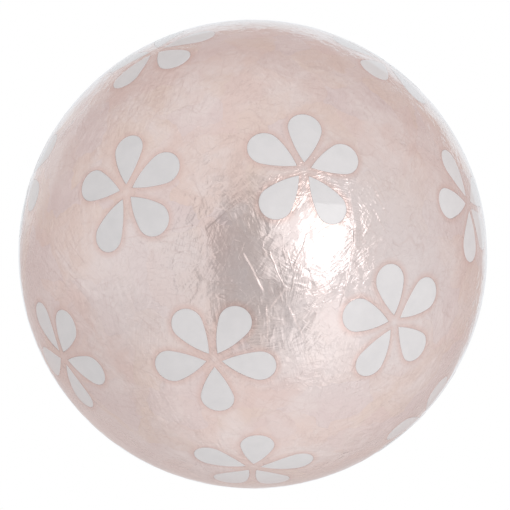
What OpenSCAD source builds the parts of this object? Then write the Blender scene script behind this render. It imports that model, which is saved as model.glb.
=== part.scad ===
// Hanging globe lantern: a translucent ball under a skin of pearly shell flakes, with white
// blossoms let in flush, hung from a sunk stud in a flush crown cap. Millimetres, +Z up.
// The origin is the top end of the hanging stud, on the axis of the ball.

/* [Ball] */
// Outside diameter of the finished ball
globe_d = 305; // [260:5:400]
// Wall of the moulded ball that carries the skin
liner_t = 1.8; // [1.4:0.1:3]
// Thickness of the flake skin with its lacquer
skin_t = 1.4; // [1:0.1:2.5]
// Film of glue between the moulded ball and the skin
glue_gap = 0.3; // [0.1:0.05:0.6]
// Height of the lap joint between the two halves of the ball
lap_h = 6; // [3:0.5:12]
// Glue line in the lap joint
lap_gap = 0.15; // [0.1:0.05:0.3]

/* [Blossoms] */
// Distance from a blossom's middle to the points of its petals
petal_tip = 5; // [4.5:0.5:8]
// Distance from a blossom's middle to the round ends of its petals
petal_end = 38.5; // [34:0.5:41]
// Width of a petal
petal_w = 20.5; // [16:0.5:21]
// Radius of the bowed flanks between a petal's point and its round end
petal_flank_r = 60; // [45:5:120]
// How much longer or shorter a hand-cut petal may be
petal_uneven = 0.8; // [0:0.1:1.2]
// Gap between a petal and its window in the skin
window_gap = 0.25; // [0.15:0.05:0.4]

/* [Neck ring] */
// Bore of the sleeve in the mouth of the ball
ring_bore_d = 56; // [53:0.5:64]
// Metal thickness of the neck ring
ring_sheet = 0.6; // [0.4:0.1:1]
// Length of the sleeve below the flange
ring_depth = 18; // [14:0.5:26]
// Width of the flange that lies on the ball
flange_w = 5; // [3:0.5:9]
// Glue line between the ring and the ball
bond_gap = 0.1; // [0.05:0.05:0.3]

/* [Crown cap] */
// Metal thickness of the cap
cap_sheet = 0.7; // [0.5:0.1:1.2]
// Gap between the cap and the flange it covers
seat_gap = 0.3; // [0.2:0.05:0.6]
// Gap all round the cap's edge, to the skin
rim_gap = 0.6; // [0.3:0.1:1.2]
// Diameter of the sunk well
well_d = 30; // [27:0.5:36]
// Depth of the well below the top of the stud
well_depth = 15; // [13:0.5:19]

/* [Hanging stud] */
// Outside diameter of the stud
stud_d = 10; // [9:0.5:12]
// Bore of the stud
stud_bore_d = 8; // [6.5:0.5:8]
// How far the stud reaches into the lampholder
stud_grip = 8; // [6:0.5:10]
// Radial gap between the stud's thread and what is screwed or pushed over it
thread_gap = 0.1; // [0.05:0.05:0.2]
// Width of the nuts across their flats
nut_af = 14; // [13.5:0.5:16]
// Height of each nut
nut_h = 4; // [3:0.5:6]
// Height of the thread relief groove above the top nut
relief_h = 1; // [0.6:0.1:1.4]
// Depth of the thread relief groove
relief_depth = 0.3; // [0.15:0.05:0.35]
// Diameter of the washer in the well
washer_d = 19; // [18:0.5:22]
// Thickness of the washer
washer_t = 1; // [0.6:0.1:1.6]

/* [Cord bush] */
// Bore of the bush, for the cord
bush_bore_d = 5.5; // [4.5:0.5:5.5]
// Thickness of the bush's collar on the stud
bush_collar_t = 1.5; // [1:0.1:2]
// How far the bush reaches into the stud
bush_depth = 8; // [5:0.5:12]
// How far the collar's edge stays inside the stud's outside
bush_inset = 0.4; // [0.2:0.1:0.6]

/* [Spring clip] */
// Metal thickness of the clip
clip_sheet = 0.5; // [0.4:0.1:0.8]
// Width of each of the three arms
clip_w = 10; // [7:0.5:13]
// Height of the leaf at the end of each arm
clip_leg = 9; // [6:0.5:12]
// Diameter of the middle of the clip
clip_hub_d = 26; // [20:0.5:30]
// Gap between the leaves and the bore of the neck ring
grip_gap = 0.3; // [0.2:0.05:0.5]

/* [Lampholder] */
// Outside diameter of the lampholder
holder_d = 38; // [37:0.5:42]
// Height of its domed upper half
holder_cap_h = 16; // [14:0.5:20]
// Height of its lower half
holder_body_h = 27; // [25:0.5:32]
// Wall of both halves
holder_wall = 2; // [1.6:0.1:2.4]
// Radius of the dome's shoulder
holder_shoulder = 7; // [5:0.5:9]
// Diameter of the boss that the stud screws into
boss_d = 17; // [15:0.5:20]
// Thickness of the contact block
block_t = 5.7; // [5:0.1:7]
// Gap round the contact block and over it
block_gap = 0.3; // [0.2:0.05:0.5]
// Metal thickness of the screw shell and of the centre contact
shell_sheet = 0.5; // [0.4:0.1:0.7]
// Depth of the screw shell
shell_depth = 20; // [17:0.5:23]
// Gap between the screw shell and the holder around it
shell_gap = 0.4; // [0.3:0.05:0.6]
// Opening in the shell's top, round the centre contact
shell_eye_d = 17; // [15:0.5:19]
// Diameter of the centre contact
contact_d = 9; // [8:0.5:10]
// Height of the raised middle of the centre contact
contact_rise = 1.2; // [0.8:0.1:1.5]
// Distance of each terminal screw from the axis
terminal_r = 11; // [10.5:0.5:12]
// Diameter of a terminal screw's head
terminal_head_d = 5.5; // [5:0.5:6]
// Height of a terminal screw's head
terminal_head_h = 2.2; // [1.8:0.1:2.6]
// Diameter of a terminal screw's shank
terminal_shank_d = 3; // [2.5:0.1:3.5]

/* [Bulb] */
// Largest diameter of the bulb
bulb_d = 48; // [44:0.5:50]
// Length of the bulb over all
bulb_len = 86; // [80:0.5:100]
// Diameter of the screw cap over its thread
bulb_cap_d = 26.4; // [26:0.1:26.8]
// Length of the screw cap
bulb_cap_h = 16.5; // [15:0.5:18]
// Metal thickness of the screw cap
bulb_cap_sheet = 0.6; // [0.4:0.1:0.8]
// Wall of the glass
glass_t = 1; // [0.7:0.1:1.5]
// Length of the neck below the screw cap
bulb_neck = 2; // [1:0.5:5]
// Diameter of the tip contact
tip_d = 9.6; // [8.5:0.1:10.5]
// Height of the tip contact
tip_h = 1.6; // [1:0.1:2.2]
// Height of the glass insulator round the tip
insulator_h = 3.3; // [2.5:0.1:4.5]
// Diameter of the post inside the glass
post_d = 8; // [5:0.5:10]
// Length of the post inside the glass
post_h = 34; // [24:1:40]
// Gap between the bulb and the lampholder where they meet
bulb_gap = 0.3; // [0.2:0.05:0.5]
// Gap between the pieces of the bulb where they are cemented
cement_gap = 0.2; // [0.1:0.05:0.3]

/* [Hidden] */
$fn = 180;

globe_r = globe_d / 2;
equator_z = -globe_r;
liner_out = globe_r - skin_t - glue_gap;
liner_in = liner_out - liner_t;
lap_mid = liner_out - liner_t / 2;
skin_in = liner_out + glue_gap;

ring_in_r = ring_bore_d / 2;
ring_out_r = ring_in_r + ring_sheet;
flange_r = ring_in_r + flange_w;
flange_in = liner_out + bond_gap;
flange_out = flange_in + ring_sheet;
liner_mouth_r = ring_out_r + bond_gap;
skin_mouth_r = flange_r + rim_gap;
ring_low_z = equator_z + sqrt(pow(flange_in, 2) - pow(ring_in_r, 2)) - ring_depth;

cap_in = flange_out + seat_gap;
cap_out = cap_in + cap_sheet;
well_in_r = well_d / 2;
well_out_r = well_in_r + cap_sheet;
floor_z = -well_depth;
floor_low_z = floor_z - cap_sheet;

stud_r = stud_d / 2;
stud_hole_r = stud_r + thread_gap;
top_nut_z = floor_z + washer_t;
relief_z = top_nut_z + nut_h;
clip_low_z = floor_low_z - clip_sheet;
leaf_r = ring_in_r - grip_gap;
clip_arms = 3;
// The arms stand at this bearing and at equal steps from it
clip_bearing = 90;
holder_top_z = clip_low_z - nut_h;
stud_low_z = holder_top_z - stud_grip;

holder_r = holder_d / 2;
holder_split_z = holder_top_z - holder_cap_h;
holder_low_z = holder_split_z - holder_body_h;
block_top_z = holder_split_z - block_gap;
block_low_z = block_top_z - block_t;
block_bore_r = holder_r - holder_wall;
bulb_cap_r = bulb_cap_d / 2;
shell_in_r = bulb_cap_r + bulb_gap;
shell_out_r = shell_in_r + shell_sheet;
shell_bore_r = shell_out_r + shell_gap;
contact_low_z = block_low_z - shell_sheet - contact_rise;
terminals = 2;
// Width and depth of the driver slot in a terminal screw
slot_w = 0.8;
slot_depth = 1;

tip_z = contact_low_z - bulb_gap;
insulator_z = tip_z - tip_h;
bulb_cap_z = insulator_z - insulator_h - bulb_gap;
// The insulator is this much wider than the tip above, and stays this far inside the cap below
insulator_lip = 1;
insulator_inset = 2.2;
stem_z = bulb_cap_z - bulb_cap_sheet - cement_gap;
stem_base_t = 1.6;
glass_z = stem_z - stem_base_t;
neck_r = bulb_cap_r - bulb_cap_sheet - cement_gap;
neck_low_z = bulb_cap_z - bulb_cap_h - bulb_neck;
bulb_r = bulb_d / 2;
bulb_mid_z = tip_z - bulb_len + bulb_r;
// Elevation, on the round of the bulb, at which a straight flank from the neck meets it
neck_drop = neck_low_z - bulb_mid_z;
flank = atan2(neck_drop, neck_r) - acos(bulb_r / norm([neck_r, neck_drop]));
bulb_steps = 16;

// Each blossom: latitude, longitude (0 at the front, positive to the right), and the directions
// of its five petals, in degrees clockwise from north
BLOSSOMS = [
  [6, -31, [-4, 61, 134, 206, 286]],
  [10, 12, [5, 70, 144, 220, 301]],
  [8, 65, [-31, 62, 122, 182, 262]],
  [-24, 39, [-22, 46, 121, 197, 272]],
  [-35, -11, [33, 103, 183, 260, 328]],
  [-30, -65, [-14, 48, 120, 195, 270]],
  [-72, 0, [6, 84, 152, 212, 291]],
  [51, -40, [-18, 54, 120, 194, 264]],
  [49, 58, [29, 101, 173, 245, 317]],
  [17, -78, [54, 126, 198, 270, 342]],
  [-44, 89, [-54, 18, 90, 162, 228]],
  [12, 118, [20, 88, 165, 236, 306]],
  [14, 171, [-10, 66, 134, 208, 280]],
  [12, -134, [40, 108, 184, 254, 330]],
  [-25, 150, [12, 80, 156, 226, 300]],
  [-28, -118, [-20, 54, 126, 194, 270]],
  [-58, -165, [30, 104, 172, 248, 318]],
  [56, 150, [-6, 64, 138, 210, 284]],
  [55, -135, [24, 98, 168, 240, 312]],
];
// Depth of the tools that cut petals, inside and outside the skin
cut_in = 4;
cut_out = 3;
// How far other cutting shapes reach past what they cut
clear = 1;
petal_steps = 12;
flank_steps = 4;

function flower_name(i) = str("flower_", i < 9 ? "0" : "", i + 1);
// Hand-cut unevenness of petal j of blossom i, from -1 to 1
function uneven(i, j) = sin(97 * i + 151 * j);

FLOWERS = [for (i = [0 : len(BLOSSOMS) - 1]) flower_name(i)];

// Half section of a round piece: everything between two radii and two heights
module band(r_in, r_out, z_low, z_high) {
  translate([r_in, z_low]) square([r_out - r_in, z_high - z_low]);
}

// Section of a ball about the middle of the lantern
module ball(r) {
  translate([0, equator_z]) circle(r);
}

// Half section of a curved sheet between two ball radii, from one radius to another off the axis
module curved_sheet(ball_in, ball_out, r_in, r_out, z_low) {
  difference() {
    intersection() {
      ball(ball_out);
      band(r_in, r_out, z_low, 0);
    }
    ball(ball_in);
  }
}

// Outline of a petal along +Y, its point towards the blossom's middle, grown all round. The round
// end is an arc about [0, mid]. The right flank is an arc about [-aside, mid + rise], which runs
// smoothly into the round end, and the left flank is its mirror image.
module petal_outline(tip, end, w, grow) {
  mid = end - w / 2;
  rise = (petal_flank_r * w - pow(w / 2, 2) - pow(mid - tip, 2)) / 2 / (mid - tip);
  aside = sqrt(pow(petal_flank_r - w / 2, 2) - pow(rise, 2));
  join = -atan2(rise, aside);
  flank_r = petal_flank_r + grow;
  end_r = w / 2 + grow;
  point = -acos(aside / flank_r);
  right = [
    for (k = [0 : flank_steps])
      let (a = point + k * (join - point) / flank_steps)
      [flank_r * cos(a) - aside, mid + rise + flank_r * sin(a)]
  ];
  round_end = [
    for (k = [1 : petal_steps - 1])
      let (a = join + k * (180 - 2 * join) / petal_steps)
      [end_r * cos(a), mid + end_r * sin(a)]
  ];
  left = [for (k = [flank_steps : -1 : 1]) [-right[k][0], right[k][1]]];
  polygon(concat(right, round_end, left));
}

// The five petals of blossom i as prisms square to the skin, grown all round
module petal_tools(i, grow) {
  reach = (petal_tip + petal_end) / 2;
  lean = reach / globe_r * 180 / PI;
  translate([0, 0, equator_z])
    rotate([0, 0, BLOSSOMS[i][1]])
      rotate([90 - BLOSSOMS[i][0], 0, 0])
        for (j = [0 : len(BLOSSOMS[i][2]) - 1])
          rotate([0, 0, -BLOSSOMS[i][2][j]])
            rotate([-lean, 0, 0])
              translate([0, -reach, skin_in - cut_in])
                linear_extrude(globe_r - skin_in + cut_in + cut_out)
                  petal_outline(
                    petal_tip,
                    petal_end + petal_uneven * uneven(i, j),
                    petal_w + petal_uneven * uneven(j, i + 2),
                    grow
                  );
}

module liner_upper() {
  color("whitesmoke")
    rotate_extrude()
      difference() {
        intersection() {
          ball(liner_out);
          band(liner_mouth_r, globe_r, equator_z + lap_gap, 0);
        }
        ball(liner_in);
        intersection() {
          ball(lap_mid + lap_gap);
          band(0, globe_r, equator_z, equator_z + lap_h + lap_gap);
        }
      }
}

module liner_lower() {
  color("whitesmoke")
    rotate_extrude()
      difference() {
        intersection() {
          ball(liner_out);
          band(0, globe_r, -globe_d, equator_z + lap_h);
        }
        ball(liner_in);
        difference() {
          band(0, globe_r, equator_z, 0);
          ball(lap_mid);
        }
      }
}

// Half section of the whole flake skin, without its mouth
module skin_section() {
  difference() {
    intersection() {
      ball(globe_r);
      band(0, globe_r + clear, -globe_d - clear, clear);
    }
    ball(skin_in);
  }
}

module nacre_skin() {
  color("mistyrose")
    difference() {
      rotate_extrude()
        difference() {
          skin_section();
          band(0, skin_mouth_r, equator_z, clear);
        }
      for (i = [0 : len(BLOSSOMS) - 1])
        petal_tools(i, window_gap);
    }
}

module flower(i) {
  color("white")
    intersection() {
      petal_tools(i, 0);
      rotate_extrude() skin_section();
    }
}

module neck_ring() {
  color("silver")
    rotate_extrude()
      union() {
        curved_sheet(flange_in, flange_out, ring_in_r, flange_r, equator_z);
        intersection() {
          ball(flange_out);
          band(ring_in_r, ring_out_r, ring_low_z, 0);
        }
      }
}

module crown_cap() {
  color("silver")
    rotate_extrude()
      union() {
        curved_sheet(cap_in, cap_out, well_in_r, flange_r, equator_z);
        intersection() {
          ball(cap_out);
          band(well_in_r, well_out_r, floor_low_z, 0);
        }
        band(stud_hole_r, well_out_r, floor_low_z, floor_z);
      }
}

module spring_clips() {
  color("lightsteelblue")
    difference() {
      union() {
        translate([0, 0, clip_low_z]) cylinder(d = clip_hub_d, h = clip_sheet);
        for (k = [0 : clip_arms - 1])
          rotate([0, 0, clip_bearing + k * 360 / clip_arms])
            clip_arm();
      }
      translate([0, 0, clip_low_z - clip_sheet]) cylinder(r = stud_hole_r, h = 3 * clip_sheet);
    }
}

// One arm along +X with the leaf that hangs from its end
module clip_arm() {
  intersection() {
    translate([0, -clip_w / 2, floor_low_z - clip_leg]) cube([leaf_r + clip_w, clip_w, clip_leg]);
    difference() {
      translate([0, 0, floor_low_z - clip_leg]) cylinder(r = leaf_r, h = clip_leg);
      translate([0, 0, floor_low_z - 2 * clip_leg])
        cylinder(r = leaf_r - clip_sheet, h = 2 * clip_leg - clip_sheet);
    }
  }
}

module hang_stud() {
  color("gainsboro")
    rotate_extrude()
      difference() {
        band(stud_bore_d / 2, stud_r, stud_low_z, 0);
        band(stud_r - relief_depth, stud_r + clear, relief_z, relief_z + relief_h);
      }
}

module top_washer() {
  color("silver")
    rotate_extrude()
      band(stud_hole_r, washer_d / 2, floor_z, floor_z + washer_t);
}

// A hexagon nut standing on the given height
module nut(z) {
  difference() {
    translate([0, 0, z]) cylinder(d = nut_af / cos(30), h = nut_h, $fn = 6);
    translate([0, 0, z - nut_h]) cylinder(r = stud_hole_r, h = 3 * nut_h);
  }
}

module top_nut() {
  color("silver") nut(top_nut_z);
}

module lower_nut() {
  color("silver") nut(holder_top_z);
}

module cord_bush() {
  color("ivory")
    rotate_extrude()
      union() {
        band(bush_bore_d / 2, stud_r - bush_inset, 0, bush_collar_t);
        band(bush_bore_d / 2, stud_bore_d / 2 - thread_gap, -bush_depth, bush_collar_t);
      }
}

// Half section of a domed pot with its mouth at the split of the lampholder
module pot(r, z_top, shoulder) {
  union() {
    band(0, r - shoulder, holder_split_z, z_top);
    band(0, r, holder_split_z, z_top - shoulder);
    intersection() {
      translate([r - shoulder, z_top - shoulder]) circle(shoulder);
      band(0, r, holder_split_z, z_top);
    }
  }
}

module holder_cap() {
  color("white")
    rotate_extrude()
      difference() {
        union() {
          difference() {
            pot(holder_r, holder_top_z, holder_shoulder);
            pot(holder_r - holder_wall, holder_top_z - holder_wall, holder_shoulder - holder_wall);
          }
          band(0, boss_d / 2, stud_low_z, holder_top_z);
        }
        band(0, stud_hole_r, holder_split_z, 0);
      }
}

module holder_body() {
  color("white")
    rotate_extrude()
      difference() {
        band(shell_bore_r, holder_r, holder_low_z, holder_split_z);
        band(0, block_bore_r, block_low_z, 0);
      }
}

module screw_shell() {
  color("goldenrod")
    rotate_extrude()
      union() {
        band(shell_in_r, shell_out_r, block_low_z - shell_depth, block_low_z);
        band(shell_eye_d / 2, shell_out_r, block_low_z - shell_sheet, block_low_z);
      }
}

module contact_block() {
  color("ivory")
    difference() {
      translate([0, 0, block_low_z]) cylinder(r = block_bore_r - block_gap, h = block_t);
      at_terminals()
        translate([0, 0, block_low_z - clear])
          cylinder(d = terminal_shank_d + 2 * thread_gap, h = block_t + 2 * clear);
    }
}

module centre_contact() {
  color("goldenrod")
    rotate_extrude()
      union() {
        band(0, contact_d / 2, block_low_z - shell_sheet, block_low_z);
        band(0, contact_d / 4, contact_low_z, block_low_z);
      }
}

module at_terminals() {
  for (k = [0 : terminals - 1])
    rotate([0, 0, k * 360 / terminals])
      translate([terminal_r, 0, 0])
        children();
}

module terminal_screws() {
  color("goldenrod")
    at_terminals()
      difference() {
        union() {
          translate([0, 0, block_low_z]) cylinder(d = terminal_shank_d, h = block_t + slot_depth);
          translate([0, 0, block_top_z]) cylinder(d = terminal_head_d, h = terminal_head_h);
        }
        translate([-terminal_head_d, -slot_w / 2, block_top_z + terminal_head_h - slot_depth])
          cube([2 * terminal_head_d, slot_w, 2 * slot_depth]);
      }
}

// Half section of the bulb: neck, straight flank and round end, thinned by the given wall
module bulb_section(wall) {
  span = 90 + flank;
  round_end = [
    for (k = [0 : bulb_steps])
      let (a = flank - k * span / bulb_steps)
      [(bulb_r - wall) * cos(a), bulb_mid_z + (bulb_r - wall) * sin(a)]
  ];
  polygon(concat([[0, glass_z], [neck_r - wall, glass_z], [neck_r - wall, neck_low_z]], round_end));
}

module bulb_glass() {
  color("white")
    rotate_extrude()
      difference() {
        bulb_section(0);
        bulb_section(glass_t);
      }
}

module bulb_stem() {
  color("lightgrey")
    rotate_extrude()
      union() {
        band(0, neck_r, glass_z, stem_z);
        band(0, post_d / 2, glass_z - post_h, stem_z);
      }
}

module bulb_cap() {
  color("silver")
    rotate_extrude()
      union() {
        band(bulb_cap_r - bulb_cap_sheet, bulb_cap_r, bulb_cap_z - bulb_cap_h, bulb_cap_z);
        band(0, bulb_cap_r, bulb_cap_z - bulb_cap_sheet, bulb_cap_z);
      }
}

module bulb_insulator() {
  color("dimgrey")
    rotate_extrude()
      polygon([
        [0, insulator_z],
        [tip_d / 2 + insulator_lip, insulator_z],
        [bulb_cap_r - insulator_inset, insulator_z - insulator_h],
        [0, insulator_z - insulator_h]
      ]);
}

module bulb_tip() {
  color("silver")
    rotate_extrude()
      band(0, tip_d / 2, insulator_z, tip_z);
}

liner_upper();
liner_lower();
nacre_skin();
neck_ring();
for (i = [0 : len(BLOSSOMS) - 1]) flower(i);
crown_cap();
spring_clips();
hang_stud();
top_washer();
top_nut();
lower_nut();
cord_bush();
holder_cap();
holder_body();
screw_shell();
contact_block();
centre_contact();
terminal_screws();
bulb_glass();
bulb_stem();
bulb_cap();
bulb_insulator();
bulb_tip();
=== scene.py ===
# Looks of a hanging globe lantern: pearly shell flakes and inlaid white blossoms on a translucent
# ball, with a flush metal crown, a lampholder and a bulb inside. Metres, +Z up, front towards -Y.
import math

import bmesh
import bpy
from mathutils import Matrix, Vector


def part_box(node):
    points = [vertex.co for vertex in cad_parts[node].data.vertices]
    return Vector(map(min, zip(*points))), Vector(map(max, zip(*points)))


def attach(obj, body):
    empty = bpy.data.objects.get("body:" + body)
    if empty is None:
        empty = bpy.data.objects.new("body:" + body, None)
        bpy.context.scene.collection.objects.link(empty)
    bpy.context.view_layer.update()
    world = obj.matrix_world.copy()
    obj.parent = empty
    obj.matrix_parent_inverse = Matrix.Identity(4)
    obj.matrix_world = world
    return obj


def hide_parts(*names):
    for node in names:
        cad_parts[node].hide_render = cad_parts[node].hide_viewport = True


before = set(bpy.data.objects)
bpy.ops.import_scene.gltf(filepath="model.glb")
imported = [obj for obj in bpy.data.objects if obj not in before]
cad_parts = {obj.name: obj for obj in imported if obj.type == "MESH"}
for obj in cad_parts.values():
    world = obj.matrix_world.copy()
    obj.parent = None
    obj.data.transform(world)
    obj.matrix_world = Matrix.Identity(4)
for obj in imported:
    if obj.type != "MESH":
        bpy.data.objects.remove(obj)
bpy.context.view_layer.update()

MM = 0.001

# The ball, from the frame
skin_low, skin_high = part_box("nacre_skin")
BALL_R = (skin_high.x - skin_low.x) / 2
MIDDLE = Vector((0, 0, skin_low.z + BALL_R))
SKIN_DEPTH = 1.4 * MM
MOUTH_R = 33.6 * MM

# Flakes of the skin; a flake's borders drift, and smaller flakes lie over the larger ones
FLAKE_SIZE = 42 * MM
FLAKE_STEP = 0.10 * MM
FLAKE_DRIFT = 0.75
OVER_FINER = 1.55
OVER_SHIFT = (7.3, 2.1, 4.4)
CREASE_SIZE = 15 * MM
CREASE_RISE = 0.05 * MM
CREASE_DRIFT = 2.2
SWELL_SIZE = 45 * MM
SWELL_RISE = 0.10 * MM
SKIN_SINK = 0.16 * MM
CHIP_AREA = 3 * MM * MM
WELD = 0.002 * MM
MERGE = 0.001 * MM
SHARP_ANGLE = math.radians(35)
PATCH_GRID = 200
PATCH_TIE = 0.00001
PATCH_AXES = {
    "front": (0, -1, 0),
    "back": (0, 1, 0),
    "right": (1, 0, 0),
    "left": (-1, 0, 0),
    "top": (0, 0, 1),
    "bottom": (0, 0, -1),
}

# Long folds of the pearl film: latitude and longitude of both ends in degrees, and the rise in mm
FOLDS = [
    ((8, 22.5), (-8.5, 24.5), 0.28),
    ((-1, 24.5), (-23, 22), 0.28),
    ((-19, 3), (-9, -2.5), 0.20),
    ((-23, 4), (-16, 9.5), 0.18),
    ((-30, 14), (-21, 8.5), 0.18),
    ((-32, 4), (-21, 3.5), 0.16),
    ((-5, -12), (4, -1), 0.14),
    ((12, 28), (3, 33), 0.12),
    ((7.5, 29), (0.5, 33), 0.12),
    ((2, 29), (-4, 33), 0.12),
    ((25, 45), (19, 52), 0.08),
    ((-38, 29.5), (-27, 33.5), 0.10),
    ((-3, -55.5), (-12, -47), 0.10),
    ((-3.5, -49), (-10, -43.5), 0.10),
    ((-9, -56.5), (-15, -50.5), 0.10),
    ((-11, -50), (-16, -44.5), 0.10),
    ((-5, -32), (-3, -12), 0.06),
]
FOLD_HALF = 0.7 * MM
FOLD_FALL = 6 * MM

# Petals, as cut from shell; lacquer all but fills the gap round them
PETAL_TIP = 5 * MM
PETAL_END = 38.5 * MM
PETAL_W = 20.5 * MM
PETAL_FLANK = 60 * MM
PETAL_UNEVEN = 0.8 * MM
WINDOW_GAP = 0.07 * MM
PETAL_ROUND = 0.15 * MM
PETAL_SHARP_ANGLE = math.radians(40)

# Each blossom: latitude, longitude (0 at the front, positive to the right), and the directions
# of its five petals, in degrees clockwise from north
BLOSSOMS = [
    (6, -31, (-4, 61, 134, 206, 286)),
    (10, 12, (5, 70, 144, 220, 301)),
    (8, 65, (-31, 62, 122, 182, 262)),
    (-24, 39, (-22, 46, 121, 197, 272)),
    (-35, -11, (33, 103, 183, 260, 328)),
    (-30, -65, (-14, 48, 120, 195, 270)),
    (-72, 0, (6, 84, 152, 212, 291)),
    (51, -40, (-18, 54, 120, 194, 264)),
    (49, 58, (29, 101, 173, 245, 317)),
    (17, -78, (54, 126, 198, 270, 342)),
    (-44, 89, (-54, 18, 90, 162, 228)),
    (12, 118, (20, 88, 165, 236, 306)),
    (14, 171, (-10, 66, 134, 208, 280)),
    (12, -134, (40, 108, 184, 254, 330)),
    (-25, 150, (12, 80, 156, 226, 300)),
    (-28, -118, (-20, 54, 126, 194, 270)),
    (-58, -165, (30, 104, 172, 248, 318)),
    (56, 150, (-6, 64, 138, 210, 284)),
    (55, -135, (24, 98, 168, 240, 312)),
]

# Threads, in millimetres
STUD_PITCH = 1.0
STUD_HALF_DEPTH = 0.27
STUD_RUNOUT = 0.6
LAMP_PITCH = 3.6286
LAMP_HALF_DEPTH = 0.5
LAMP_RUNOUT = 1.5

# Fittings, in millimetres
STUD_HOLE_R = 5.1
STUD_BORE_R = 4
STUD_GROOVE = (-10, -9)
CAP_SHEET = 0.7
CAP_RINGS = (30, 27, 24, 21, 19)
WELL_R = 15
WELL_FLOOR = -15
NECK_BALL_R = 151.5
NECK_BEND_R = 30.5
NECK_R = 28
NECK_SHEET = 0.6
NUT_FLATS = 7.0
NO_FLATS = 1000.0
CLIP_HUB_R = 13
CLIP_ARM_START = 9
CLIP_ARM_HALF_W = 5
CLIP_LEAF_R = 27.7
CLIP_SHEET = 0.5
CLIP_EDGE = 0.1
PORCELAIN_WALL = 2
HOLDER_BORE_R = 14.4
BOSS_R = 8.5
BOSS_DEPTH = 8
SHELL_SHEET = 0.5
SHELL_EYE_R = 8.5
BULB_SHEET = 0.35
GLASS_WALL = 1
GLASS_NECK_R = 12.4

# Tones of the pearl film, of its shaded lines and of the skin beside a petal
PINK = (0.745, 0.572, 0.53, 1)
PEACH = (0.75, 0.588, 0.525, 1)
LILAC = (0.725, 0.585, 0.568, 1)
CLOUDED = (0.785, 0.665, 0.64, 1)
# Painted sheen: a whiter tone for the film round the key light's reflection
SHEEN_PAINT_TONE = (0.735, 0.655, 0.65, 1)
# Paler, greyer tone for a patch low on the front left
PALE_PATCH_TONE = (0.76, 0.665, 0.655, 1)
CREASE_SHADE = (0.52, 0.37, 0.34, 1)
STREAK_SHADE = (0.55, 0.43, 0.41, 1)
PLEAT_SHADE = (0.56, 0.41, 0.375, 1)
PETAL_BLUSH = (0.66, 0.465, 0.42, 1)
PETAL_LINE = (0.54, 0.38, 0.355, 1)

# Rim of a petal, and the tone of the painted glow on the liner, which stands in for daylight through it
PETAL_RIM = (0.60, 0.50, 0.48, 1)
GLOW_PAINT_TONE = (1.0, 0.86, 0.82, 1)

# Outward directions of the painted sheen (a whiter tone painted round the key light's reflection, on the
# front right), of a paler patch low on the front left, and of the smoothly pressed area of the film
SHEEN_PAINT_SIDE = (0.42, -0.87, -0.25)
PALE_PATCH_SIDE = (-0.44, -0.86, -0.26)
PRESSED_SIDE = (-0.1, -0.97, -0.2)

# Lacquer over the film and the petals
LACQUER_ROUGHNESS = 0.04
LACQUER_IOR = 1.52


# Node helpers

def add(tree, kind, inputs=None, **settings):
    """Add a node, set its properties, and give inputs a value or a link from another socket."""
    made = tree.nodes.new(kind)
    for name, value in settings.items():
        setattr(made, name, value)
    for key, value in (inputs or {}).items():
        if isinstance(value, bpy.types.NodeSocket):
            tree.links.new(value, made.inputs[key])
        else:
            made.inputs[key].default_value = value
    return made


def calc(tree, operation, *values):
    """Result of a Math node."""
    return add(tree, "ShaderNodeMath", dict(enumerate(values)), operation=operation).outputs[0]


def whole(tree, operation, a, b):
    """Result of an Integer Math node."""
    return add(tree, "FunctionNodeIntegerMath", {0: a, 1: b}, operation=operation).outputs[0]


def vec(tree, operation, *values):
    """Vector result of a Vector Math node."""
    made = add(tree, "ShaderNodeVectorMath", dict(enumerate(values)), operation=operation)
    return made.outputs["Vector"]


def dot(tree, a, b):
    """Dot product of two vectors."""
    return add(tree, "ShaderNodeVectorMath", {0: a, 1: b}, operation="DOT_PRODUCT").outputs["Value"]


def scaled(tree, a, factor):
    """A vector times a number."""
    return add(tree, "ShaderNodeVectorMath", {0: a, "Scale": factor}, operation="SCALE").outputs["Vector"]


def remap(tree, value, low, high, to_low=0.0, to_high=1.0):
    """Value moved smoothly from one range to another and kept inside it."""
    inputs = {"Value": value, "From Min": low, "From Max": high, "To Min": to_low, "To Max": to_high}
    return add(tree, "ShaderNodeMapRange", inputs, interpolation_type="SMOOTHSTEP").outputs["Result"]


def mixed(tree, share, a, b):
    """Two colours mixed."""
    return add(tree, "ShaderNodeMix", {0: share, 6: a, 7: b}, data_type="RGBA").outputs[2]


def noise(tree, at, scale, detail=2.0, roughness=0.5):
    """A noise texture node at a place."""
    inputs = {"Vector": at, "Scale": scale, "Detail": detail, "Roughness": roughness}
    return add(tree, "ShaderNodeTexNoise", inputs)


def cells(tree, at, scale, feature="F1"):
    """A Voronoi texture node at a place."""
    return add(tree, "ShaderNodeTexVoronoi", {"Vector": at, "Scale": scale}, feature=feature)


def apart(tree, colour):
    """Red, green and blue of a colour, or X, Y and Z of a vector."""
    return add(tree, "ShaderNodeSeparateXYZ", {0: colour}).outputs


def together(tree, x, y, z):
    """A vector from three numbers."""
    return add(tree, "ShaderNodeCombineXYZ", {0: x, 1: y, 2: z}).outputs[0]


def centred(tree, colour):
    """A random colour as a vector round zero."""
    return vec(tree, "SUBTRACT", colour, (0.5, 0.5, 0.5))


def plug(tree, socket, target):
    """Link an output to an input."""
    tree.links.new(socket, target)


# The flakes, drawn alike in the shape of the skin and in its colour

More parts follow.
